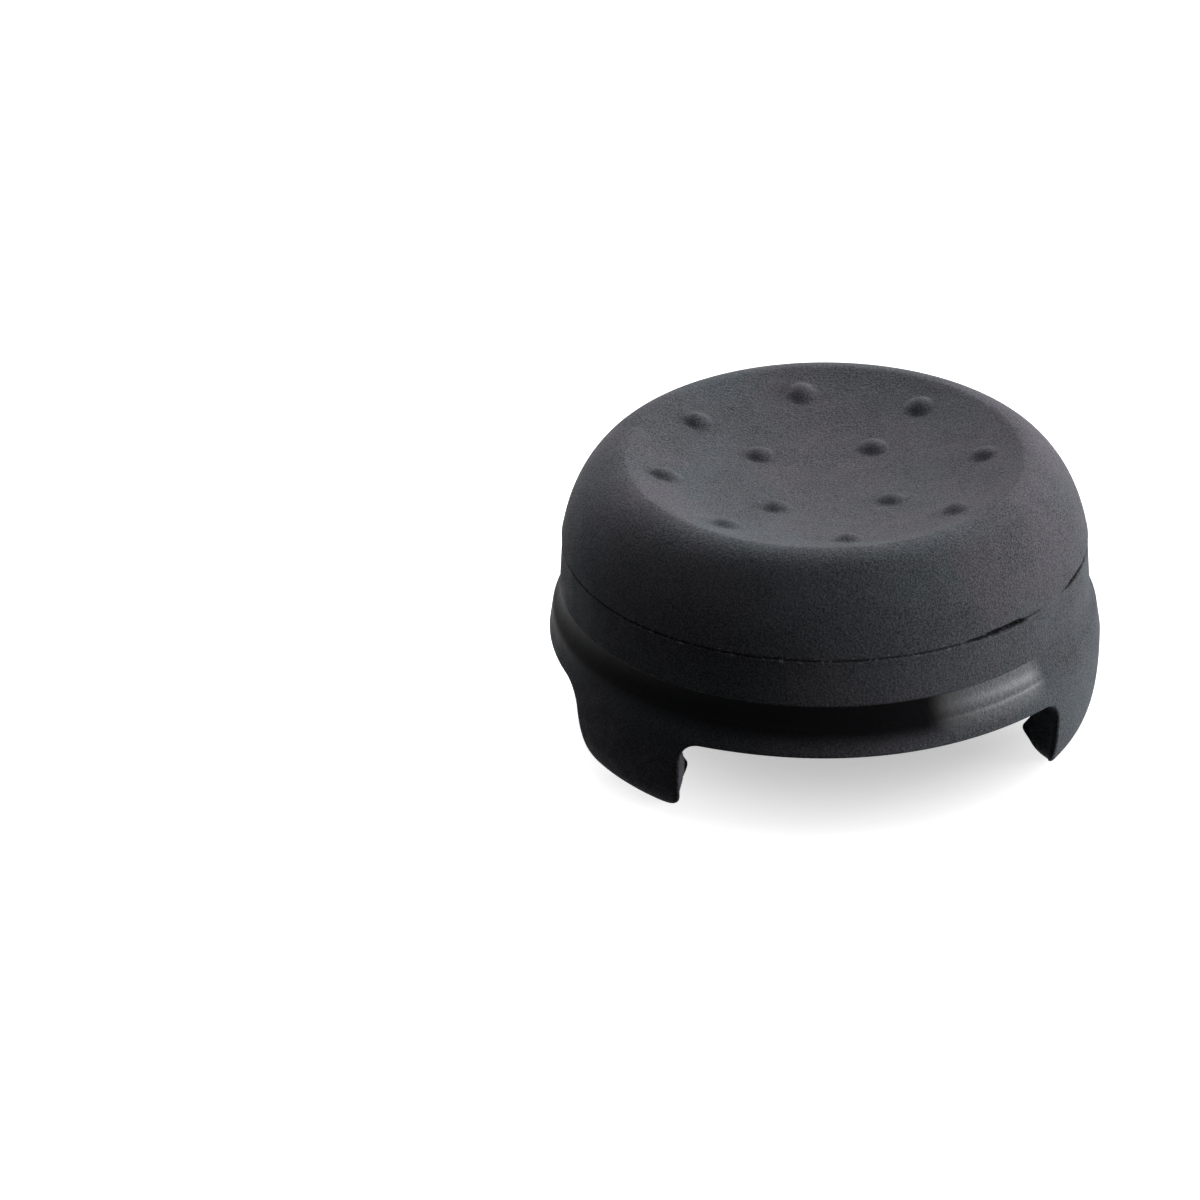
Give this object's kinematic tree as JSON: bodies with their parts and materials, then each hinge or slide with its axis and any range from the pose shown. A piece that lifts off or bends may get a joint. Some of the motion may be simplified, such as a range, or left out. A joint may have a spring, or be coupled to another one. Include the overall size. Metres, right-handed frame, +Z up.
{
  "type": "controller thumb grip",
  "caption": "Round clip-on thumb grip with a nubbed concave top, domed rim, parting groove, smooth cove and latch prongs round a socket for a thumb stick cap.",
  "frame": {"origin": "on the grip's axis, in the plane of the prong tips that it stands on", "axes": "+Z up along the grip's axis, out of the dish; +Y towards the middle of one prong; +X to the right of it"},
  "size_m": [0.022, 0.022, 0.0113],
  "materials": {
    "grip_rubber": "fine matt moulded grain, with a smooth glossy cove above the prongs"
  },
  "bodies": {
    "root": {"thumb_grip": "grip_rubber"}
  },
  "joints": []
}
